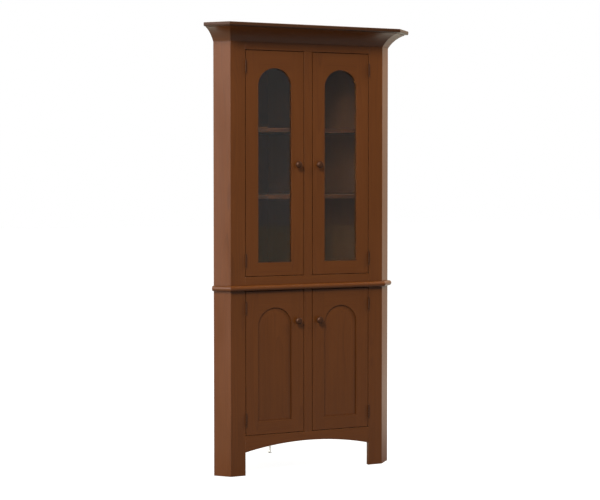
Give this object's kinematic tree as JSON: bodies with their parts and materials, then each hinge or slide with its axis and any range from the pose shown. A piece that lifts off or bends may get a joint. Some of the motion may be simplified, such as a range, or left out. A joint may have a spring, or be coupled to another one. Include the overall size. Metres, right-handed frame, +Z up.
{
  "type": "corner cupboard",
  "caption": "Two-part corner cupboard: a base with arched raised-panel doors, and a case with shelves behind arched glazed doors under a cove cornice.",
  "frame": {"origin": "on the floor, at the bottom centre of the whole object's bounding box", "axes": "+Z up; the doors face -Y; the room's corner is at the far side, on +Y; +X is to the right of someone facing the doors"},
  "size_m": [1.02, 0.5994, 2.032],
  "materials": {
    "front_wood": "mid-brown stain under satin varnish",
    "side_wood": "mid-brown stain under satin varnish",
    "trim_wood": "mid-brown stain under satin varnish",
    "inside_wood": "stained boards, thin varnish",
    "glass": "clear window glass",
    "dark_bronze": "dark oiled bronze"
  },
  "bodies": {
    "case": {"base_left_stile": "front_wood", "base_right_stile": "front_wood", "base_centre_stile": "front_wood", "base_top_rail": "front_wood", "base_apron": "front_wood", "base_left_side": "side_wood", "base_right_side": "side_wood", "base_left_back": "inside_wood", "base_right_back": "inside_wood", "base_floor": "inside_wood", "base_shelf": "inside_wood", "base_top": "inside_wood", "rear_foot": "side_wood", "waist_moulding_front": "trim_wood", "waist_moulding_left": "trim_wood", "waist_moulding_right": "trim_wood", "hutch_left_stile": "front_wood", "hutch_right_stile": "front_wood", "hutch_centre_stile": "front_wood", "hutch_top_rail": "front_wood", "hutch_bottom_rail": "front_wood", "hutch_left_side": "side_wood", "hutch_right_side": "side_wood", "hutch_left_back": "inside_wood", "hutch_right_back": "inside_wood", "hutch_floor": "inside_wood", "hutch_lower_shelf": "inside_wood", "hutch_upper_shelf": "inside_wood", "hutch_top": "inside_wood", "cornice_front": "trim_wood", "cornice_left": "trim_wood", "cornice_right": "trim_wood", "upper_left_upper_hinge_frame_leaf": "dark_bronze", "upper_left_lower_hinge_frame_leaf": "dark_bronze", "upper_right_upper_hinge_frame_leaf": "dark_bronze", "upper_right_lower_hinge_frame_leaf": "dark_bronze", "lower_left_upper_hinge_frame_leaf": "dark_bronze", "lower_left_lower_hinge_frame_leaf": "dark_bronze", "lower_right_upper_hinge_frame_leaf": "dark_bronze", "lower_right_lower_hinge_frame_leaf": "dark_bronze"},
    "upper_left_door": {"upper_left_door_frame": "front_wood", "upper_left_glass": "glass", "upper_left_knob": "dark_bronze", "upper_left_upper_hinge_door_leaf": "dark_bronze", "upper_left_lower_hinge_door_leaf": "dark_bronze"},
    "upper_right_door": {"upper_right_door_frame": "front_wood", "upper_right_glass": "glass", "upper_right_knob": "dark_bronze", "upper_right_upper_hinge_door_leaf": "dark_bronze", "upper_right_lower_hinge_door_leaf": "dark_bronze"},
    "lower_left_door": {"lower_left_door_frame": "front_wood", "lower_left_panel": "front_wood", "lower_left_knob": "dark_bronze", "lower_left_upper_hinge_door_leaf": "dark_bronze", "lower_left_lower_hinge_door_leaf": "dark_bronze"},
    "lower_right_door": {"lower_right_door_frame": "front_wood", "lower_right_panel": "front_wood", "lower_right_knob": "dark_bronze", "lower_right_upper_hinge_door_leaf": "dark_bronze", "lower_right_lower_hinge_door_leaf": "dark_bronze"}
  },
  "joints": [
    {"name": "upper_left_door_hinge", "type": "hinge", "parent": "case", "child": "upper_left_door", "pos_m": [-0.30751, -0.20381, 1.4105], "axis": [0, 0, -1], "range_deg": [0, 150]},
    {"name": "upper_right_door_hinge", "type": "hinge", "parent": "case", "child": "upper_right_door", "pos_m": [0.30751, -0.20381, 1.4105], "axis": [0, 0, 1], "range_deg": [0, 150]},
    {"name": "lower_left_door_hinge", "type": "hinge", "parent": "case", "child": "lower_left_door", "pos_m": [-0.30751, -0.20381, 0.508], "axis": [0, 0, -1], "range_deg": [0, 150]},
    {"name": "lower_right_door_hinge", "type": "hinge", "parent": "case", "child": "lower_right_door", "pos_m": [0.30751, -0.20381, 0.508], "axis": [0, 0, 1], "range_deg": [0, 150]}
  ]
}
